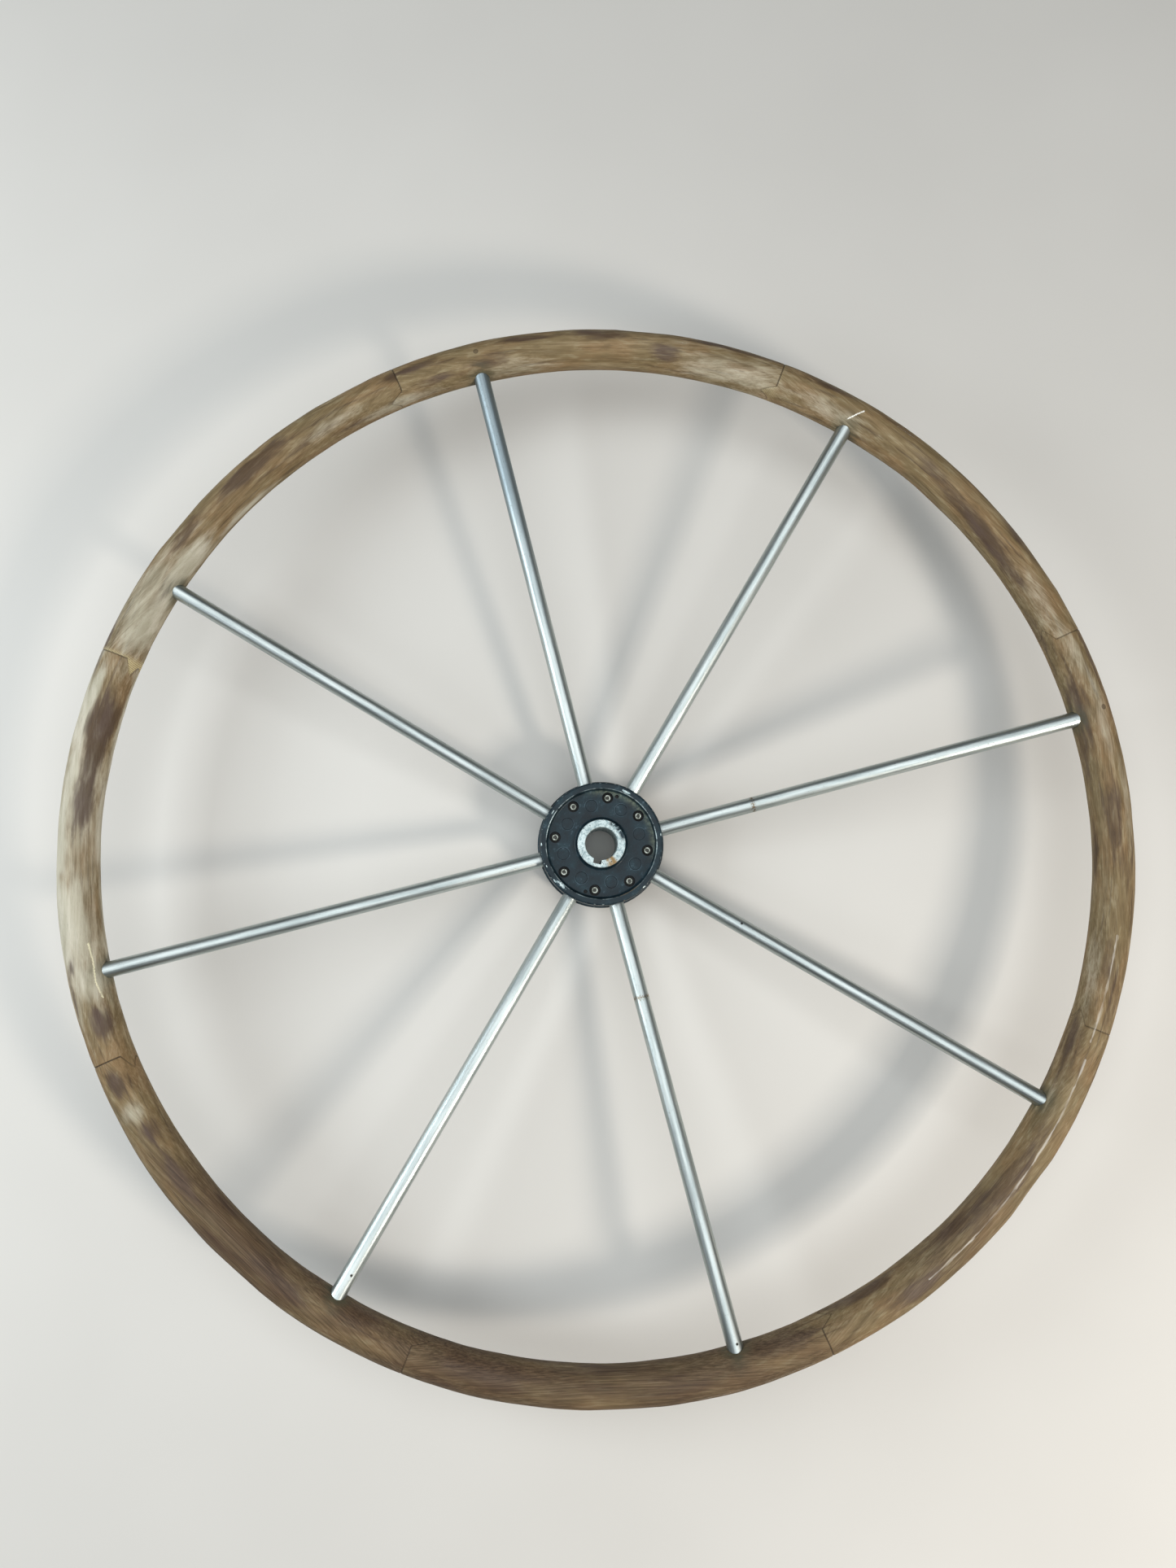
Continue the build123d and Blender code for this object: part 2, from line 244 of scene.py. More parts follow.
# Pale wood, partly faded by hands and sun and partly painted highlight, in the same terms.
# The thin bands along the outer and inner edges near azimuths 275 to 300 are painted highlight.
PALE_AND_HIGHLIGHT_PATCHES = [
    (272, 75, 55, 34, 0.45), (288, 60, 70, 40, 0.50), (312, 100, 60, 34, 0.50), (30, 100, 60, 24, 0.20),
    (276, 8, 60, 6, 0.8), (300, 12, 70, 5, 0.8), (298, 166, 60, 5, 0.8), (275, 168, 50, 5, 0.6),
    (30, 110, 44, 9, 0.35), (43, 105, 34, 10, 0.40), (75, 95, 30, 9, 0.35), (83, 75, 28, 7, 0.35),
    (91, 60, 34, 6, 0.40), (100, 35, 32, 5, 0.40), (120, 120, 36, 7, 0.30), (134, 115, 20, 6, 0.25),
    (254.5, 60, 9, 9, 0.5), (269, 90, 14, 9, 0.7), (276, 65, 34, 10, 0.9), (284, 30, 30, 6, 0.9),
    (286, 150, 34, 5, 0.7), (301, 45, 26, 5, 0.7), (296, 50, 40, 6, 0.7), (309, 110, 20, 10, 0.8),
    (317, 125, 34, 7, 0.9), (327, 150, 34, 4, 0.7), (342, 95, 28, 6, 0.4), (349, 135, 40, 6, 0.55),
    (4, 125, 34, 7, 0.3),
]
# Flats left by the shaping of the boards: azimuth of each end, and the roll they face.
FLATS = [
    (16, 22.5, 10), (68.8, 75.5, 5), (75.5, 80.5, 5), (101, 107, -5), (140, 147, 20), (189, 196, 0),
    (232, 239, 10), (268, 274, 5), (281, 287, 0), (318, 324.5, 10), (341, 348, 5), (52, 58, 175),
    (120, 125.5, 180), (206, 212, 180), (300, 306, 175),
]
# A scratch, filler, scuffs and a glossy line painted as a highlight: azimuth and roll of each end, half
# width in mm.
SCRATCH = [(44.7, 125, 45.86, 83, 0.42)]
FILLER = [(267.2, 132, 269.0, 123, 0.5), (269.0, 123, 271.2, 128, 0.5), (271.2, 128, 273.2, 123, 0.55)]
SCUFFS = [
    (172.6, 47, 178.0, 44, 0.8), (180.0, 45, 185.0, 43, 0.7), (50.0, 62, 52.2, 60, 0.8),
    (23.6, 75, 24.4, 70, 0.5),
]
GLOSS_AND_HIGHLIGHT_LINE = [(115.0, 96, 127.0, 100, 0.6), (129.0, 96, 158.0, 88, 0.5)]
# Round filled holes: azimuth and roll of the middle.
PLUGS = [(0.0, 82), (89.5, 72)]
PLUG_RADIUS = 1.8                   # mm
# Strength of the dark line along each joint, for the joint before spokes 1 to 8.
SEAM_STRENGTHS = [0.8, 0.85, 0.55, 0.6, 0.85, 0.5, 1.0, 0.7]
# How far the V finger of each of those joints shows pale hatched end grain.
FINGER_STRENGTHS = [0.0, 0.25, 0.0, 0.0, 0.0, 0.0, 0.0, 1.0]
HATCH_PITCH = 1.3                   # mm
# Small dents: azimuth, roll, half length in mm, half width in mm, depth in mm.
DENTS = [
    (25.5, 38, 3.0, 1.6, 0.5), (62, 14, 4.0, 1.5, 0.4), (113, 62, 2.0, 1.2, 0.3),
    (141, 52, 3.5, 1.0, 0.4), (172, 22, 3.0, 1.2, 0.3), (236, 150, 3.0, 1.4, 0.4),
    (262, 165, 5.0, 2.0, 0.5), (320, 14, 5.0, 2.0, 0.5), (335, 160, 3.0, 1.2, 0.35),
]


def rim_shape():
    """Radius of the rim's centre circle, its height and its section's radius, from the frame."""
    boxes = [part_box(f"rim_segment_{n}") for n in range(1, COUNT + 1)]
    top = max(high.z for _, high in boxes)
    bottom = min(low.z for low, _ in boxes)
    outer = max(high.y for _, high in boxes)
    section = (top - bottom) / 2
    return outer - section, (top + bottom) / 2, section


def board_start(number):
    """Azimuth of the joint at which a board starts."""
    return (number - 1) * STEP - JOINT_LEAD


def rod_axis(number):
    """Where a rod's centre line enters the rim, and its outward direction."""
    turn = math.radians((number - 1) * STEP)
    level = math.cos(ROD_SLOPE)
    entry = (math.sin(turn) * ROD_ENTRY, math.cos(turn) * ROD_ENTRY, ROD_HEIGHT)
    return entry, (math.sin(turn) * level, math.cos(turn) * level, math.sin(ROD_SLOPE))


def joint_shift(radius, circle):
    """How far a joint's line lies counterclockwise of the joint's azimuth, at each radius."""
    finger_points = [circle - FINGER_END, circle - FINGER_TIP, circle - FINGER_BASE]
    return np.interp(radius, finger_points, [0.0, FINGER_LENGTH, 0.0])


def patch_sum(azimuth, roll, patches, circle, section, warp):
    """Strength of a list of patches at each point, with edges moved by the noise in warp."""
    total = np.zeros(len(azimuth))
    for where, facing, half_length, half_width, strength in patches:
        along = turned(azimuth - where) * math.radians(1) * circle / MM
        across = turned(roll - facing - VIEW_LEAN) * math.radians(1) * section / MM
        reach = np.hypot(along / half_length, across / half_width) + 0.45 * warp
        share = strength * (1 - smooth(reach, 0.1, 1.5))
        total = 1 - (1 - total) * (1 - share)
    return total


def wear_height(points, azimuth, number):
    """How far the surface stands out from a true round section, at each point."""
    out = WEAR * noise_at(points, 0.05, 3.1)
    out += 0.45 * WEAR * noise_at(points, 0.017, 8.4)
    out += 0.12 * WEAR * noise_at(points, 0.006, 5.2)
    spoke = (number - 1) * STEP
    out += SWELL * np.exp(-((azimuth - spoke) / SWELL_SPREAD) ** 2)
    return out


def flat_depth(azimuth, roll, circle):
    """How far each flat lies below the round rim, at each point."""
    total = np.zeros(len(azimuth))
    for first, last, facing in FLATS:
        half = (last - first) / 2
        share = turned(azimuth - (first + last) / 2) / half
        sagitta = (math.radians(half) * circle) ** 2 / (2 * circle)
        fall = np.clip(1 - share ** 2, 0, None)
        total += sagitta * fall * np.exp(-(turned(roll - facing) / FLAT_SPREAD) ** 2)
    return total


def dent_depth(azimuth, roll, circle, section):
    """Depth of the dents at each point."""
    total = np.zeros(len(azimuth))
    for where, facing, half_length, half_width, depth in DENTS:
        along = turned(azimuth - where) * math.radians(1) * circle / MM
        across = turned(roll - facing) * math.radians(1) * section / MM
        total += depth * MM * np.exp(-(along / half_length) ** 2 - (across / half_width) ** 2)
    return total


def board_columns():
    """Places along a board from 0 to 1, closer together at its ends and at its spoke."""
    places = np.linspace(0.0, 1.0, EVEN_COLUMNS)
    near_end = np.array(END_COLUMNS) * MM / BOARD_LENGTH
    spoke = JOINT_LEAD / STEP
    near_spoke = spoke + np.linspace(-SPOKE_REACH, SPOKE_REACH, SPOKE_COLUMNS) * MM / BOARD_LENGTH
    return np.unique(np.concatenate([places, near_end, 1 - near_end, near_spoke]))


def board_points(number, share, roll):
    """Worn surface of a board, where share runs from 0 at its first joint to 1 at the next."""
    circle, height, section = rim_shape()
    cosine, sine = np.cos(np.radians(roll)), np.sin(np.radians(roll))
    plan_radius = circle + section * cosine
    lead = np.degrees(joint_shift(plan_radius, circle) / plan_radius)
    gap = np.degrees(JOINT_GAP / 2 / plan_radius)
    azimuth = board_start(number) - lead + gap + share * (STEP - 2 * gap)

    turn = np.radians(azimuth)
    true_points = np.stack([
        plan_radius * np.sin(turn), plan_radius * np.cos(turn), height + section * sine], axis=1)
    from_joint = np.minimum(share, 1 - share) * math.radians(STEP) * circle
    stand = wear_height(true_points, azimuth, number)
    stand -= flat_depth(azimuth, roll, circle)
    stand -= dent_depth(azimuth, roll, circle, section)
    stand -= SEAM_DEPTH * (1 - smooth(from_joint, 0.0, SEAM_WIDTH))
    worn = section + stand
    worn_radius = circle + worn * cosine
    return np.stack([
        worn_radius * np.sin(turn), worn_radius * np.cos(turn), height + worn * sine], axis=1)


def board_mesh(number):
    """Closed mesh of one rim board, from joint to joint, before its spoke hole is cut."""
    columns = board_columns()
    rolls = np.linspace(0.0, 360.0, RING_POINTS, endpoint=False)
    share, roll = (grid.ravel() for grid in np.meshgrid(columns, rolls, indexing="ij"))
    faces = []
    for i in range(len(columns) - 1):
        for j in range(RING_POINTS):
            k = (j + 1) % RING_POINTS
            a, b = i * RING_POINTS + j, i * RING_POINTS + k
            faces.append((a, b, b + RING_POINTS, a + RING_POINTS))
    faces += end_faces(0, flip=False) + end_faces((len(columns) - 1) * RING_POINTS, flip=True)
    mesh = bpy.data.meshes.new(f"rim_board_{number}")
    mesh.from_pydata(board_points(number, share, roll).tolist(), [], faces)
    mesh.validate()
    return mesh


def end_faces(first, flip):
    """Upright strips that close a board's end: each joins a ring's upper and lower side."""
    half = RING_POINTS // 2
    faces = [(first + 1, first, first + RING_POINTS - 1)]
    for j in range(1, half - 1):
        low = first + RING_POINTS - j
        faces.append((first + j + 1, first + j, low, low - 1))
    faces.append((first + half, first + half - 1, first + half + 1))
    return [face[::-1] for face in faces] if flip else faces


def cut_spoke_hole(board, number):
    """Bores the board for its spoke, a little wider than the rod."""
    entry, outward = (Vector(values) for values in rod_axis(number))
    reach = (ROD_END - ROD_ENTRY) / math.cos(ROD_SLOPE) + DRILL_OVERRUN
    middle = entry + outward * (reach - DRILL_LENGTH / 2)
    bpy.ops.mesh.primitive_cylinder_add(
        vertices=64, radius=ROD_RADIUS + HOLE_CLEARANCE, depth=DRILL_LENGTH, location=middle,
        rotation=outward.to_track_quat("Z", "Y").to_euler())
    drill = bpy.context.object
    cut = board.modifiers.new("hole", "BOOLEAN")
    cut.object = drill
    cut.operation = "DIFFERENCE"
    cut.solver = "EXACT"
    graph = bpy.context.evaluated_depsgraph_get()
    bored = bpy.data.meshes.new_from_object(board.evaluated_get(graph))
    board.modifiers.clear()
    board.data = bored
    bpy.data.objects.remove(drill)


def corner_places(mesh, circle, height):
    """Azimuth and roll of every face corner, kept together across the wrap of each angle."""
    points = np.zeros(len(mesh.vertices) * 3)
    mesh.vertices.foreach_get("co", points)
    points = points.reshape(-1, 3)
    corners = np.zeros(len(mesh.loops), np.int32)
    mesh.loops.foreach_get("vertex_index", corners)
    counts = np.zeros(len(mesh.polygons), np.int32)
    mesh.polygons.foreach_get("loop_total", counts)
    first = np.concatenate([[0], np.cumsum(counts)[:-1]])

    radius = np.hypot(points[:, 0], points[:, 1])
    azimuth = np.degrees(np.arctan2(points[:, 0], points[:, 1]))[corners]
    roll = np.degrees(np.arctan2(points[:, 2] - height, radius - circle))[corners]
    leader = np.repeat(first, counts)
    azimuth = azimuth[leader] + turned(azimuth - azimuth[leader])
    roll = roll[leader] + turned(roll - roll[leader])
    return points[corners], azimuth, roll


def add_layer(mesh, name, values):
    """Stores a number or a vector for each face corner."""
    kind = "FLOAT" if values.ndim == 1 else "FLOAT_VECTOR"
    layer = mesh.attributes.new(name, kind, "CORNER")
    layer.data.foreach_set("value" if kind == "FLOAT" else "vector", values.astype(np.float32).ravel())


def grain_places(points, middle, number):
    """Places in millimetres in a board's own wood, with x along its grain."""
    turn = math.radians(middle)
    along = points[:, 0] * math.cos(turn) - points[:, 1] * math.sin(turn)
    across = points[:, 0] * math.sin(turn) + points[:, 1] * math.cos(turn)
    return np.stack([along, across, points[:, 2]], axis=1) / MM + np.array(GRAIN_SHIFT) * number


def seam_strength(azimuth, radius, circle, number):
    """Strength of the dark line along the joints at both ends of a board."""
    shift = joint_shift(radius, circle)
    from_start = np.radians(turned(azimuth - board_start(number))) * radius + shift
    from_finish = -np.radians(turned(azimuth - board_start(number + 1))) * radius - shift
    start_line = SEAM_STRENGTHS[number - 1] * (1 - smooth(np.abs(from_start) / MM, 0.1, 0.9))
    finish_line = SEAM_STRENGTHS[number % COUNT] * (1 - smooth(np.abs(from_finish) / MM, 0.1, 0.9))
    return np.maximum(start_line, finish_line)


def grime_strength(points, number):
    """Strength of the grime round the place where a rod enters the wood."""
    entry, outward = (np.array(values) for values in rod_axis(number))
    offset = points - entry
    depth = offset @ outward
    aside = np.linalg.norm(offset - np.outer(depth, outward), axis=1)
    return (1 - smooth(aside / MM, 6.0, 15.0)) * (1 - smooth(depth / MM, 8.0, 22.0))


def paint_board(mesh, number):
    """Layers that the wood material reads: places, patches, joints, end grain and grime."""
    circle, height, section = rim_shape()
    points, azimuth, roll = corner_places(mesh, circle, height)
    middle = board_start(number) + STEP / 2
    add_layer(mesh, "grain", grain_places(points, middle, number))

    travel = (middle + turned(azimuth - middle)) * math.radians(1) * circle / MM
    girth = roll * math.radians(1) * section / MM
    add_layer(mesh, "rim_place", np.stack([travel, girth, np.zeros(len(travel))], axis=1))

    streaked = np.stack([travel / 3.5, girth, np.full(len(travel), 40.0 * number)], axis=1)
    warp = noise_at(streaked, 9.0, 1.0) + 0.3 * noise_at(streaked, 3.5, 2.0)
    add_layer(mesh, "dark", patch_sum(azimuth, roll, DARK_PATCHES, circle, section, warp))
    # pale: faded wood and painted highlights
    add_layer(mesh, "pale", patch_sum(azimuth, roll, PALE_AND_HIGHLIGHT_PATCHES, circle, section, -warp))
    # brown: browner wood and painted shade
    add_layer(mesh, "brown", patch_sum(azimuth, roll, BROWN_AND_SHADED_STRETCHES, circle, section, warp))

    radius = np.hypot(points[:, 0], points[:, 1])
    add_layer(mesh, "seam", seam_strength(azimuth, radius, circle, number))
    past_joint = -np.radians(turned(azimuth - board_start(number))) * radius / MM
    add_layer(mesh, "finger", FINGER_STRENGTHS[number - 1] * smooth(past_joint, -4.0, 2.0))
    add_layer(mesh, "grime", grime_strength(points, number))


def rim_mark(m, place, marks, ragged, feather=0.35):
    """1 on a list of straight marks and 0 off them, with ragged edges."""
    circle, _, section = rim_shape()
    degree = math.radians(1) / MM
    total = 0.0
    for from_azimuth, from_roll, to_azimuth, to_roll, half_width in marks:
        start = Vector((from_azimuth * degree * circle, from_roll * degree * section, 0))
        finish = Vector((to_azimuth * degree * circle, to_roll * degree * section, 0))
        step = finish - start
        offset = m.vector("SUBTRACT", place, start)
        share = m.math("DIVIDE", m.vector("DOT_PRODUCT", offset, step), step.length_squared, clamp=True)
        nearest = m.vector("SCALE", step, share)
        distance = m.vector("DISTANCE", offset, nearest)
        distance = m.math("ADD", distance, m.mask(ragged, 0.3, 0.7, -half_width, half_width))
        mark = m.mask(distance, half_width + feather, half_width - feather)
        total = m.math("MAXIMUM", total, mark)
    return total


def plug_mask(m, place):
    """1 on the round filled holes, strongest at their rims."""
    circle, _, section = rim_shape()
    degree = math.radians(1) / MM
    total = 0.0
    for azimuth, roll in PLUGS:
        middle = Vector((azimuth * degree * circle, roll * degree * section, 0))
        distance = m.vector("DISTANCE", place, middle)
        inside = m.mask(distance, PLUG_RADIUS + 0.35, PLUG_RADIUS - 0.15, 0.0, 0.55)
        edge = m.mask(m.math("ABSOLUTE", m.math("SUBTRACT", distance, PLUG_RADIUS)), 0.4, 0.0, 0.0, 0.35)
        total = m.math("MAXIMUM", total, m.math("ADD", inside, edge))
    return total


class WoodTextures:
    """The wood's textures, along each board's own grain or along the rim, and its painted layers."""

    def __init__(self, m):
        grain = m.attribute("grain").outputs["Vector"]
        self.place = m.attribute("rim_place").outputs["Vector"]
        self.along_grain = m.split(grain)[0]
        self.bands = m.noise(m.stretch(grain, (0.010, 0.16, 0.16)), 1.0, 3.0, 0.55, 0.3)
        self.lines = m.noise(m.stretch(grain, (0.020, 1.1, 1.1)), 1.0, 3.0, 0.62)
        self.pores = m.noise(m.stretch(grain, (0.14, 4.5, 4.5)), 1.0, 1.5, 0.5)
        self.streaks = m.noise(m.stretch(self.place, (0.020, 0.30, 1.0)), 1.0, 3.0, 0.55, 0.25)
        self.cloud = m.noise(m.stretch(self.place, (0.020, 0.055, 1.0)), 1.0, 3.0, 0.55)
        self.mottle = m.noise(m.stretch(self.place, (0.055, 0.24, 1.0)), 1.0, 3.0, 0.58, 0.4)
        self.speck = m.noise(self.place, 1.3, 2.5, 0.65)
        self.dark = m.attribute("dark").outputs["Fac"]
        self.pale = m.attribute("pale").outputs["Fac"]
        self.brown = m.attribute("brown").outputs["Fac"]
        self.seam = m.attribute("seam").outputs["Fac"]
        self.finger = m.attribute("finger").outputs["Fac"]
        self.grime = m.attribute("grime").outputs["Fac"]


def bare_wood(m, wood):
    """Uneven brown of old bare wood."""
    base = m.ramp(wood.bands, (0.30, rgb("#6a5a3e")), (0.50, rgb("#7d6b4b")), (0.70, rgb("#8e7c5d")))
    base = m.mix(m.mask(wood.cloud, 0.42, 0.66, 0.0, 0.55), base, rgb("#876947"))
    base = m.mix(m.mask(wood.mottle, 0.46, 0.66, 0.0, 0.45), base, rgb("#615034"))
    base = m.mix(m.mask(wood.mottle, 0.46, 0.32, 0.0, 0.30), base, rgb("#a39675"))
    base = m.mix(m.mask(wood.streaks, 0.56, 0.68, 0.0, 0.55), base, rgb("#463525"))
    base = m.mix(m.mask(wood.lines, 0.52, 0.66, 0.0, 0.32), base, rgb("#4f402c"))
    return m.mix(m.mask(wood.lines, 0.46, 0.34, 0.0, 0.22), base, rgb("#a69677"))


def dark_wood_share(m, wood):
    """Share of dark wood, with ragged edges to its patches."""
    ragged = m.math("ADD", wood.dark, m.mask(wood.mottle, 0.3, 0.7, -0.10, 0.10))
    ragged = m.math("ADD", ragged, m.mask(wood.streaks, 0.3, 0.7, -0.08, 0.08))
    return m.mask(ragged, 0.08, 0.80)


def with_patches(m, wood, base, dark_share):
    """Adds the pale wood (sun-faded, with painted highlights), the dark wood and the browner wood (with
    painted shade).
    """
    pale_share = m.math("ADD", wood.pale, m.mask(wood.mottle, 0.3, 0.7, 0.10, -0.10))
    pale_share = m.math("ADD", pale_share, m.mask(wood.lines, 0.3, 0.7, 0.06, -0.06))
    # pale tone for the faded wood and for the painted highlights
    bleached_and_highlit = m.ramp(wood.bands, (0.35, rgb("#aaa48f")), (0.65, rgb("#c8c2b0")))
    base = m.mix(m.mask(pale_share, 0.0, 0.9, 0.0, 0.86), base, bleached_and_highlit)
    dark = m.mix(m.mask(wood.cloud, 0.40, 0.62), rgb("#4d3c36"), rgb("#423122"))
    base = m.mix(m.math("MULTIPLY", dark_share, 0.82), base, dark)
    # browner wood, darker partly as painted shade
    brown = m.ramp(wood.lines, (0.36, rgb("#604c39")), (0.52, rgb("#4a392a")), (0.66, rgb("#36281d")))
    return m.mix(m.math("MULTIPLY", wood.brown, 0.90), base, brown)


def end_grain(m, wood):
    """Pale end grain with dark lines across it."""
    across = m.math("MULTIPLY", wood.along_grain, math.tau / HATCH_PITCH)
    hatch = m.math("ADD", m.math("SINE", across), m.mask(wood.speck, 0.3, 0.7, -0.9, 0.9))
    return m.mix(m.mask(hatch, 0.3, 0.9, 0.0, 0.75), rgb("#c4b488"), rgb("#6a5434"))


def with_marks(m, wood, base, gloss_and_highlight):
    """Adds grime, joint lines, filled holes, filler, the scratch, the scuffs and the glossy line's
    painted highlight.
    """
    grime = m.math("MULTIPLY", wood.grime, m.mask(wood.mottle, 0.35, 0.65, 0.25, 0.8))
    base = m.mix(grime, base, rgb("#4a4938"))
    base = m.mix(m.math("MULTIPLY", wood.seam, 0.8), base, rgb("#241a12"))
    base = m.mix(plug_mask(m, wood.place), base, rgb("#3c2f22"))
    filler = rim_mark(m, wood.place, FILLER, wood.speck)
    filler = m.math("MULTIPLY", filler, m.mask(wood.mottle, 0.40, 0.50, 0.35, 0.9))
    base = m.mix(filler, base, rgb("#e6dfbd"))
    base = m.mix(rim_mark(m, wood.place, SCRATCH, wood.speck, 0.2), base, rgb("#f2f0e6"))
    scuffs = rim_mark(m, wood.place, SCUFFS, wood.speck)
    scuffs = m.math("MULTIPLY", scuffs, m.mask(wood.speck, 0.50, 0.64, 0.0, 0.7))
    base = m.mix(scuffs, base, rgb("#d9d8d0"))
    # painted highlight: a pale tint along the glossy line
    painted_glare = m.math("MULTIPLY", gloss_and_highlight, m.mask(wood.streaks, 0.40, 0.55, 0.15, 0.5))
    return m.mix(painted_glare, base, rgb("#d9d2c6"))


def wood_material():
    """Bare teak, bleached and worn by hands, with dark patches, fine grain and grimy joints."""
    m = Nodes("weathered_teak")
    wood = WoodTextures(m)
    dark_share = dark_wood_share(m, wood)
    # the glossy line is less rough, and with_marks tints it pale as a painted highlight
    gloss_and_highlight = rim_mark(m, wood.place, GLOSS_AND_HIGHLIGHT_LINE, wood.mottle, 0.5)
    pore_share = m.mask(wood.pores, 0.58, 0.72, 0.0, 0.24)
    base = with_patches(m, wood, bare_wood(m, wood), dark_share)
    base = m.mix(m.math("MULTIPLY", wood.finger, 0.85), base, end_grain(m, wood))
    base = m.mix(pore_share, base, rgb("#3d2f21"))
    m.link(with_marks(m, wood, base, gloss_and_highlight), m.shader.inputs["Base Color"])

    roughness = m.mask(dark_share, 0.0, 1.0, 0.66, 0.52)
    roughness = m.math("ADD", roughness, m.mask(wood.lines, 0.3, 0.7, -0.06, 0.08))
    roughness = m.math("SUBTRACT", roughness, m.math("MULTIPLY", gloss_and_highlight, 0.22))
    m.link(roughness, m.shader.inputs["Roughness"])
    m.shader.inputs["Specular IOR Level"].default_value = 0.28

    height = m.math("SUBTRACT", m.math("MULTIPLY", wood.bands, 1.2), m.math("MULTIPLY", wood.lines, 0.7))
    height = m.math("SUBTRACT", height, m.math("MULTIPLY", pore_share, 0.6))
    height = m.math("SUBTRACT", height, m.math("MULTIPLY", m.mask(wood.streaks, 0.57, 0.70), 0.5))
    m.link(m.bump(height, 0.22 * MM, 0.75), m.shader.inputs["Normal"])
    return m.material


def make_rim():
    """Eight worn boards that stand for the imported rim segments."""
    wood = wood_material()
    for number in range(1, COUNT + 1):
        board = bpy.data.objects.new(f"rim_board_{number}", board_mesh(number))
        bpy.context.collection.objects.link(board)
        cut_spoke_hole(board, number)
        paint_board(board.data, number)
        board.data.materials.clear()
        board.data.materials.append(wood)
        board.data.shade_smooth()
        board.data.set_sharp_from_angle(angle=math.radians(50))
        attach(board, "root")
        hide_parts(f"rim_segment_{number}")


# =============================================================================================
# Spokes
# =============================================================================================
# Brown stains across a rod: spoke number and distance from the bore axis in mm.
SPOKE_STAINS = {3: 128, 5: 127}
# Dark corrosion pits: spoke number and distance from the bore axis in mm.
SPOKE_PITS = {4: 130, 5: 380, 6: 367}
PIT_ASIDE = -1.5                    # mm; where a pit lies across the rod
PIT_HEIGHT = 33.0                   # mm; just under the rod's top, in a frame that slopes with the rod


def spoke_material(number):
    """Satin stainless rod, drawn lengthwise, with a few pits; the first one is dull near the rim."""
    m = Nodes(f"spoke_steel_{number}")
    azimuth = math.radians((number - 1) * STEP)
    level = m.stretch(m.place(), (1, 1, 1), rotation=(0, 0, azimuth))
    rod = m.stretch(level, (1000, 1000, 1000), rotation=(-ROD_SLOPE, 0, 0))
    varied = m.stretch(rod, (1, 1, 1), shift=(31.0 * number, 170.0 * number, 0))
    drawn = m.noise(m.stretch(varied, (2.4, 0.010, 2.4)), 1.0, 3.0, 0.6)
    smear = m.noise(m.stretch(varied, (0.40, 0.022, 0.40)), 1.0, 3.0, 0.55)
    speck = m.noise(varied, 0.8, 3.0, 0.65)
    distance = m.split(rod)[1]

    colour = m.ramp(smear, (0.30, rgb("#9ea7a6")), (0.52, rgb("#b7bfbd")), (0.75, rgb("#cad0cd")))
    dull = m.mask(speck, 0.60, 0.74, 0.0, 0.55)
    if number == 1:
        towards_rim = m.mask(distance, 150.0, 330.0)
        colour = m.mix(m.math("MULTIPLY", towards_rim, 0.75), colour, rgb("#7c8b93"))
        dull = m.math("MULTIPLY", dull, m.mask(distance, 120.0, 300.0, 1.0, 1.7))
    colour = m.mix(dull, colour, rgb("#777a72"))
    if number in SPOKE_STAINS:
        near = m.math("ABSOLUTE", m.math("SUBTRACT", distance, float(SPOKE_STAINS[number])))
        near = m.math("ADD", near, m.mask(speck, 0.3, 0.7, -1.5, 2.5))
        colour = m.mix(m.mask(near, 2.0, 0.5, 0.0, 0.8), colour, rgb("#6f5a3c"))
    if number in SPOKE_PITS:
        middle = Vector((PIT_ASIDE, float(SPOKE_PITS[number]), PIT_HEIGHT))
        near = m.vector("DISTANCE", rod, middle)
        colour = m.mix(m.mask(near, 1.4, 0.7), colour, rgb("#2a2722"))
    m.link(colour, m.shader.inputs["Base Color"])
    m.shader.inputs["Metallic"].default_value = 1.0
    roughness = m.mask(drawn, 0.3, 0.7, 0.28, 0.46)
    roughness = m.math("ADD", roughness, m.math("MULTIPLY", dull, 0.25))
    if number == 1:
        roughness = m.math("ADD", roughness, m.math("MULTIPLY", towards_rim, 0.12))
    m.link(roughness, m.shader.inputs["Roughness"])
    height = m.math("SUBTRACT", drawn, m.math("MULTIPLY", dull, 0.6))
    m.link(m.bump(height, 0.10 * MM, 0.8), m.shader.inputs["Normal"])
    return m.material


# =============================================================================================
# Hub
# =============================================================================================
# Chips in the lip's paint: azimuth, distance from the bore axis in mm, half length and half width in mm.
LIP_CHIPS = [(40, 44.9, 3.4, 0.9), (239, 44.8, 4.0, 1.3), (246, 46.6, 1.6, 0.5), (96, 46.9, 1.2, 0.5),
             (284, 46.8, 1.3, 0.6), (262, 46.2, 1.2, 0.5), (318, 45.2, 2.2, 0.4), (150, 47.2, 1.8, 0.5)]
EJECTOR_CIRCLE = 30.8               # mm; round marks left by the mould's ejector pins
EJECTOR_RADIUS = 4.7
SCREW_CIRCLE = 36.5
WELL_RADIUS = 4.4


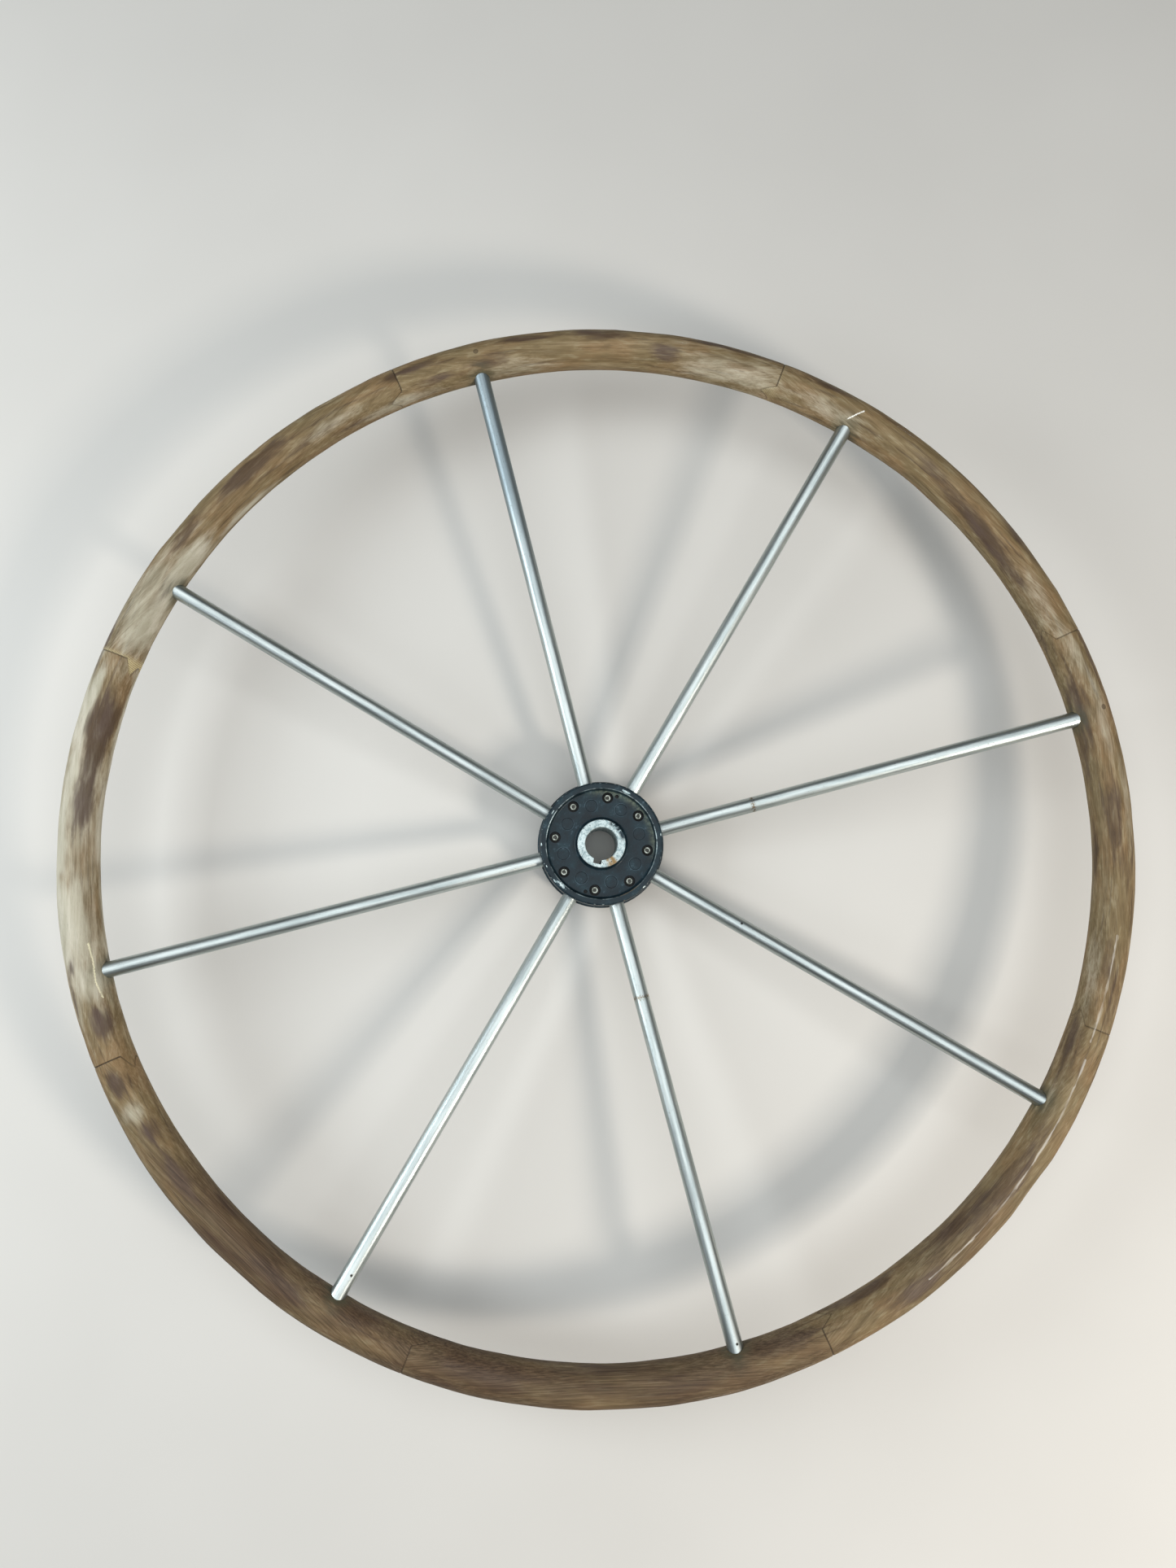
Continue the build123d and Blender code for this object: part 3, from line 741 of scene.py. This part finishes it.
class HubPlaces:
    """Polar places on the hub, in millimetres and degrees clockwise from spoke 1."""

    def __init__(self, m):
        self.m = m
        self.place = m.place()
        across, ahead, up = m.split(m.vector("SCALE", self.place, 1000.0))
        self.radius = m.vector("LENGTH", m.join(across, ahead, 0.0))
        self.azimuth = m.math("MULTIPLY", m.math("ARCTAN2", across, ahead), math.degrees(1))
        self.height = up

    def turn_from(self, azimuth, every=360.0):
        """Degrees from an azimuth, or from the nearest of several set evenly from it."""
        shifted = self.m.math("ADD", self.azimuth, every / 2 - azimuth)
        return self.m.math("SUBTRACT", self.m.math("FLOORED_MODULO", shifted, every), every / 2)

    def from_ring(self, circle, azimuth):
        """Distance to the nearest of eight points on a circle, the first at this azimuth."""
        m = self.m
        turn = m.math("MULTIPLY", self.turn_from(azimuth, STEP), math.radians(1))
        aside = m.math("MULTIPLY", self.radius, m.math("SINE", turn))
        ahead = m.math("SUBTRACT", m.math("MULTIPLY", self.radius, m.math("COSINE", turn)), circle)
        return m.vector("LENGTH", m.join(aside, ahead, 0.0))

    def sector(self, azimuth, half, soft=8.0):
        """1 within half degrees of an azimuth, falling to 0 over soft degrees."""
        turn = self.m.math("ABSOLUTE", self.turn_from(azimuth))
        return self.m.mask(turn, half + soft, half)

    def band(self, value, middle, half, soft):
        """1 where value is within half of middle, falling to 0 over soft."""
        gap = self.m.math("ABSOLUTE", self.m.math("SUBTRACT", value, middle))
        return self.m.mask(gap, half + soft, half)


def lip_chips(hub, ragged):
    """1 on the chips in the lip's paint."""
    m = hub.m
    total = 0.0
    for azimuth, circle, half_length, half_width in LIP_CHIPS:
        along = m.math("MULTIPLY", hub.turn_from(azimuth), math.radians(1) * circle / half_length)
        across = m.math("DIVIDE", m.math("SUBTRACT", hub.radius, circle), half_width)
        reach = m.vector("LENGTH", m.join(along, across, 0.0))
        reach = m.math("ADD", reach, m.mask(ragged, 0.3, 0.7, -0.5, 0.6))
        total = m.math("MAXIMUM", total, m.mask(reach, 1.05, 0.85))
    return m.math("MULTIPLY", total, m.mask(hub.height, 47.0, 47.6))


def hub_paint(hub, ragged, coarse, on_sunk_face):
    """Dark paint, chalky in places, with dust on one side of the sunk face."""
    m = hub.m
    speck = m.noise(hub.place, 1500.0, 2.5, 0.65)
    colour = m.ramp(coarse, (0.30, rgb("#101c22")), (0.52, rgb("#18282f")), (0.75, rgb("#24383f")))
    colour = m.mix(m.mask(speck, 0.58, 0.74, 0.0, 0.25), colour, rgb("#3c5260"))
    dusty = m.math("MULTIPLY", m.mask(hub.radius, 36.0, 42.5), hub.sector(60, 40, 30))
    dusty = m.math("MULTIPLY", dusty, m.mask(ragged, 0.35, 0.65, 0.15, 0.75))
    colour = m.mix(m.math("MULTIPLY", dusty, on_sunk_face), colour, rgb("#6c7563"))
    chalk = m.math("MULTIPLY", m.mask(ragged, 0.52, 0.68), m.mask(coarse, 0.50, 0.68, 0.0, 0.45))
    return m.mix(chalk, colour, rgb("#5d707c"))


def with_rings(hub, colour, coarse, pin_edge, pin_line, on_sunk_face):
    """Adds the ejector pins' ring marks, a dark line with a paler rim, and painted shadow in the screw
    wells.
    """
    m = hub.m
    pin_rim = m.math("MULTIPLY", hub.band(pin_edge, 0.42, 0.05, 0.25), on_sunk_face)
    pin_rim = m.math("MULTIPLY", pin_rim, m.mask(coarse, 0.4, 0.6, 0.05, 0.5))
    colour = m.mix(pin_rim, colour, rgb("#526873"))
    darkness = m.mask(m.noise(hub.place, 45.0, 2.0, 0.5), 0.40, 0.60, 0.15, 0.75)
    colour = m.mix(m.math("MULTIPLY", pin_line, darkness), colour, rgb("#070b0e"))
    # painted shadow: near black on the screw wells below the sunk face
    well_shadow = m.mask(hub.from_ring(SCREW_CIRCLE, STEP / 2), WELL_RADIUS + 0.1, WELL_RADIUS - 0.15)
    well_shadow = m.math("MULTIPLY", well_shadow, m.mask(hub.height, 43.2, 42.9))
    return m.mix(well_shadow, colour, rgb("#08090a"))


def bare_boss(hub, ragged):
    """1 where the boss's face has lost its paint."""
    m = hub.m
    boss = m.math("MULTIPLY", m.mask(hub.radius, 19.0, 18.3), m.mask(hub.height, 46.6, 47.4))
    kept_paint = m.math("MULTIPLY", hub.sector(65, 22, 14), m.mask(hub.radius, 14.6, 16.8))
    kept_paint = m.math("MULTIPLY", kept_paint, m.mask(ragged, 0.43, 0.49))
    flecks = m.mask(ragged, 0.605, 0.66, 0.0, 0.8)
    return m.math("MULTIPLY", boss, m.math("SUBTRACT", 1.0, m.math("MAXIMUM", kept_paint, flecks)))


def bare_edges(hub, ragged, coarse):
    """1 where the edges of the lip, the front plate and the bore have lost their paint."""
    m = hub.m
    worn_side = m.math("MAXIMUM", hub.sector(300, 18, 20), hub.sector(75, 30, 20))
    worn_side = m.math("MAXIMUM", worn_side, 0.35)
    inner = m.math("MULTIPLY", hub.band(hub.radius, 43.25, 0.10, 0.35), m.mask(hub.height, 47.0, 47.7))
    inner = m.math("MULTIPLY", m.math("MULTIPLY", inner, worn_side), m.mask(coarse, 0.40, 0.56))
    outer = m.math("MULTIPLY", hub.band(hub.radius, 47.7, 0.2, 0.7), m.mask(hub.height, 45.5, 47.0))
    outer = m.math("MULTIPLY", outer, m.mask(ragged, 0.58, 0.66, 0.0, 0.7))
    plate = m.math("MULTIPLY", m.mask(hub.radius, 49.2, 49.8), m.mask(ragged, 0.60, 0.68, 0.0, 0.7))
    bore = m.mask(hub.radius, 13.3, 13.0, 0.0, 0.8)
    return m.math("MAXIMUM", m.math("MAXIMUM", inner, outer), m.math("MAXIMUM", plate, bore))


def hub_material():
    """Dark paint on a casting, chalky and scuffed, with bare metal on the boss and at worn edges."""
    m = Nodes("hub_paint")
    hub = HubPlaces(m)
    ragged = m.noise(hub.place, 420.0, 4.0, 0.68)
    coarse = m.noise(hub.place, 110.0, 3.0, 0.6)
    on_sunk_face = m.math("MULTIPLY", m.mask(hub.height, 44.0, 43.2), m.mask(hub.height, 41.0, 42.5))
    pin_edge = m.math("SUBTRACT", hub.from_ring(EJECTOR_CIRCLE, 0.0), EJECTOR_RADIUS)
    pin_line = m.math("MULTIPLY", hub.band(pin_edge, 0.0, 0.05, 0.30), on_sunk_face)
    paint = hub_paint(hub, ragged, coarse, on_sunk_face)
    paint = with_rings(hub, paint, coarse, pin_edge, pin_line, on_sunk_face)
    bare = m.math("MAXIMUM", bare_boss(hub, ragged), bare_edges(hub, ragged, coarse))
    bare = m.math("MAXIMUM", bare, lip_chips(hub, ragged))

    metal = m.mix(m.mask(ragged, 0.35, 0.60), rgb("#879a9d"), rgb("#c6d3d2"))
    rust = m.math("MULTIPLY", hub.sector(166, 8, 10), m.mask(coarse, 0.38, 0.55, 0.3, 0.9))
    metal = m.mix(rust, metal, rgb("#8a6a35"))
    m.link(m.mix(bare, paint, metal), m.shader.inputs["Base Color"])
    m.link(m.math("MULTIPLY", bare, 0.65), m.shader.inputs["Metallic"])
    m.shader.inputs["Specular IOR Level"].default_value = 0.22
    roughness = m.mask(bare, 0.0, 1.0, 0.36, 0.46)
    m.link(m.math("ADD", roughness, m.mask(coarse, 0.3, 0.7, -0.06, 0.12)), m.shader.inputs["Roughness"])
    height = m.math("SUBTRACT", m.math("MULTIPLY", ragged, 0.8), m.math("MULTIPLY", bare, 0.7))
    height = m.math("SUBTRACT", height, m.math("MULTIPLY", pin_line, 0.8))
    m.link(m.bump(height, 0.15 * MM, 0.7), m.shader.inputs["Normal"])
    return m.material


def screw_material():
    """Stainless screw heads, bright at their rims, with painted shade in the sockets and round the heads.
    """
    m = Nodes("screw_steel")
    hub = HubPlaces(m)
    stain = m.noise(hub.place, 600.0, 3.0, 0.6)
    from_middle = hub.from_ring(SCREW_CIRCLE, STEP / 2)
    colour = m.ramp(stain, (0.32, rgb("#4e5149")), (0.52, rgb("#81857c")), (0.70, rgb("#aeb2aa")))
    socket = m.mask(m.math("ADD", from_middle, m.mask(stain, 0.3, 0.7, -0.15, 0.15)), 1.6, 1.35)
    edge = m.mask(m.math("ADD", from_middle, m.mask(stain, 0.3, 0.7, -0.3, 0.3)), 2.35, 2.75)
    socket_and_edge_shade = m.math("MAXIMUM", m.math("MULTIPLY", socket, 0.85), m.math("MULTIPLY", edge, 0.75))
    # painted shade: dark in the hex socket and round the edge of each head
    colour = m.mix(socket_and_edge_shade, colour, rgb("#1c1a14"))
    m.link(colour, m.shader.inputs["Base Color"])
    m.link(m.math("SUBTRACT", 1.0, m.math("MULTIPLY", socket_and_edge_shade, 0.6)), m.shader.inputs["Metallic"])
    m.link(m.mask(stain, 0.3, 0.7, 0.46, 0.30), m.shader.inputs["Roughness"])
    m.link(m.bump(stain, 0.05 * MM, 0.5), m.shader.inputs["Normal"])
    return m.material


def dowel_material():
    """Near-black dowel ends, deep in their holes."""
    m = Nodes("dowel_steel")
    stain = m.noise(m.place(), 900.0, 3.0, 0.6)
    m.link(m.ramp(stain, (0.35, rgb("#0c0b0a")), (0.65, rgb("#26231f"))), m.shader.inputs["Base Color"])
    m.link(m.mask(stain, 0.3, 0.7, 0.7, 0.5), m.shader.inputs["Roughness"])
    return m.material


# =============================================================================================
# Stage
# =============================================================================================
def floor_material():
    """Plain pale floor."""
    m = Nodes("pale_floor")
    soft = m.noise(m.place(), 3.0, 3.0, 0.5)
    m.link(m.ramp(soft, (0.3, rgb("#c9c6c0")), (0.7, rgb("#cfccc6"))), m.shader.inputs["Base Color"])
    m.shader.inputs["Roughness"].default_value = 0.75
    return m.material


def make_floor():
    """A wide floor, just under the hub's front face so that the two do not flicker."""
    bpy.ops.mesh.primitive_plane_add(size=30.0, location=(0, 0, -0.2 * MM))
    floor = bpy.context.object
    floor.name = "floor"
    floor.data.materials.append(floor_material())


def aim(thing, place, target, up):
    """Places a lamp or camera so that it looks at target, with up pointing up in its view."""
    back = (Vector(place) - Vector(target)).normalized()
    right = Vector(up).cross(back).normalized()
    above = back.cross(right)
    thing.matrix_world = Matrix.Translation(place) @ Matrix((right, above, back)).transposed().to_4x4()


def soft_light(name, place, target, width, height, power, colour):
    """A rectangular lamp aimed at target, with its sides in metres and its power in watts."""
    lamp = bpy.data.lights.new(name, "AREA")
    lamp.shape = "RECTANGLE"
    lamp.size = width
    lamp.size_y = height
    lamp.energy = power
    lamp.color = colour
    thing = bpy.data.objects.new(name, lamp)
    bpy.context.collection.objects.link(thing)
    aim(thing, place, target, (0, 0, 1))


def make_lights():
    """A soft ceiling, cool window light from the left of the photo and a warm lamp at its lower right."""
    centre = (0, 0, 0.05)
    soft_light("ceiling", (0.05, 0.05, 2.2), centre, 2.8, 2.4, 40, (0.93, 0.97, 1.0))
    soft_light("window_left", (-1.25, 0.40, 0.85), centre, 0.9, 0.6, 14, (0.88, 0.95, 1.0))
    soft_light("lamp_right", (0.95, -1.25, 1.1), centre, 0.3, 0.3, 20, (1.0, 0.93, 0.85))
    world = bpy.data.worlds.new("studio")
    world.use_nodes = True
    background = world.node_tree.nodes["Background"]
    background.inputs["Color"].default_value = (0.62, 0.68, 0.72, 1)
    background.inputs["Strength"].default_value = 0.14
    bpy.context.scene.world = world


def make_camera():
    """A phone camera held by hand, nearly straight above the hub."""
    data = bpy.data.cameras.new("camera")
    data.sensor_fit = "VERTICAL"
    data.sensor_height = 36.0
    data.lens = 24.96
    data.clip_start, data.clip_end = 0.01, 20.0
    camera = bpy.data.objects.new("camera", data)
    bpy.context.collection.objects.link(camera)
    aim(camera, (-0.0446, -0.0347, 0.8945), (0.0002, 0.0454, 0.072), (0.2475, 0.9629, 0.1072))
    bpy.context.scene.camera = camera


# =============================================================================================
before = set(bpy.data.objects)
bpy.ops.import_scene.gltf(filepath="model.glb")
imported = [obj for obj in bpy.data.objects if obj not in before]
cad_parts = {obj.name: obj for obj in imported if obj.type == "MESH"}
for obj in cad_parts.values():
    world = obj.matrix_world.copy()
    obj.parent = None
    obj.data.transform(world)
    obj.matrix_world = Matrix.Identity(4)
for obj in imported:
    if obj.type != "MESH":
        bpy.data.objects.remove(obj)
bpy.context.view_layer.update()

make_rim()
for spoke_number in range(1, COUNT + 1):
    dress(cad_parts[f"spoke_{spoke_number}"], spoke_material(spoke_number))
hub_look = hub_material()
dress(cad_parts["hub_body"], hub_look)
dress(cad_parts["hub_front_plate"], hub_look)
dress(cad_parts["hub_screws"], screw_material())
dress(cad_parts["hub_dowels"], dowel_material())

make_floor()
make_lights()
make_camera()
bpy.context.scene.view_settings.view_transform = "Standard"
